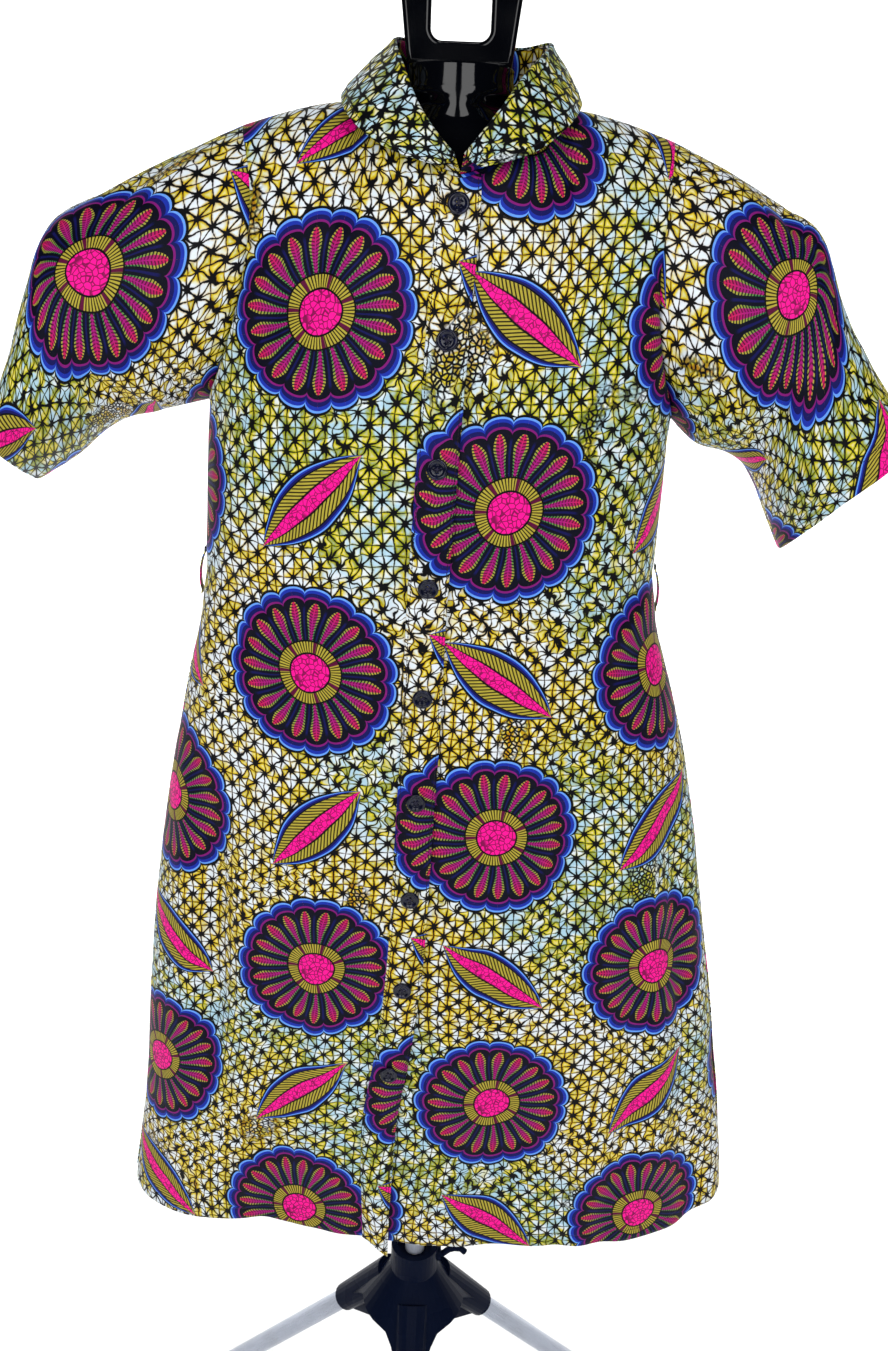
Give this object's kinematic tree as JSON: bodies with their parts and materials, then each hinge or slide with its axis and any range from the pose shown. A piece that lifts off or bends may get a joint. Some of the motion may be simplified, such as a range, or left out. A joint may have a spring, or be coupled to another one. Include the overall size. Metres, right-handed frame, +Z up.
{
  "type": "ankara wax print dress on a limbless dress form with a tripod stand",
  "caption": "Short-sleeved button-front shirt dress in wax print cotton, worn hollow on a black dress form with a hanging loop, pole and tripod stand.",
  "frame": {"origin": "on the floor, at the centre of the whole part's box, under the front of the hub", "axes": "+Z up the pole, -Y out of the dress's front, +X towards the wearer's left sleeve"},
  "size_m": [0.833, 0.5329, 1.8003],
  "materials": {
    "wax_print": "waxed printed cotton, slight sheen",
    "button": "dark navy, polished",
    "form_gloss": "black, high gloss",
    "stand_plastic": "black, satin moulded",
    "aluminium": "satin anodised tube",
    "rubber": "matt black"
  },
  "bodies": {
    "base": {"hub": "stand_plastic", "leg_1": "aluminium", "leg_2": "aluminium", "leg_3": "aluminium", "foot_1": "rubber", "foot_2": "rubber", "foot_3": "rubber"},
    "mast": {"pole": "aluminium"},
    "form": {"form_body": "form_gloss", "hanging_loop": "form_gloss", "front_right": "wax_print", "front_left": "wax_print", "back": "wax_print", "sleeve_right": "wax_print", "sleeve_left": "wax_print", "collar_stand": "wax_print", "collar_fall": "wax_print", "button_band": "wax_print", "button_1": "button", "button_2": "button", "button_3": "button", "button_4": "button", "button_5": "button", "button_6": "button", "button_7": "button", "button_8": "button", "button_9": "button", "belt_loop_right": "wax_print", "belt_loop_left": "wax_print"},
    "screw": {"clamp_screw": "stand_plastic"}
  },
  "joints": [
    {"name": "pole_height", "type": "slide", "parent": "base", "child": "mast", "axis": [0, 0, 1], "range_m": [-0.1, 0.15]},
    {"name": "form_turn", "type": "hinge", "parent": "mast", "child": "form", "pos_m": [0, 0.083, 1.2], "axis": [0, 0, 1], "continuous": true},
    {"name": "screw_turn", "type": "hinge", "parent": "base", "child": "screw", "pos_m": [0.03, 0.083, 0.419], "axis": [1, 0, 0], "continuous": true}
  ]
}
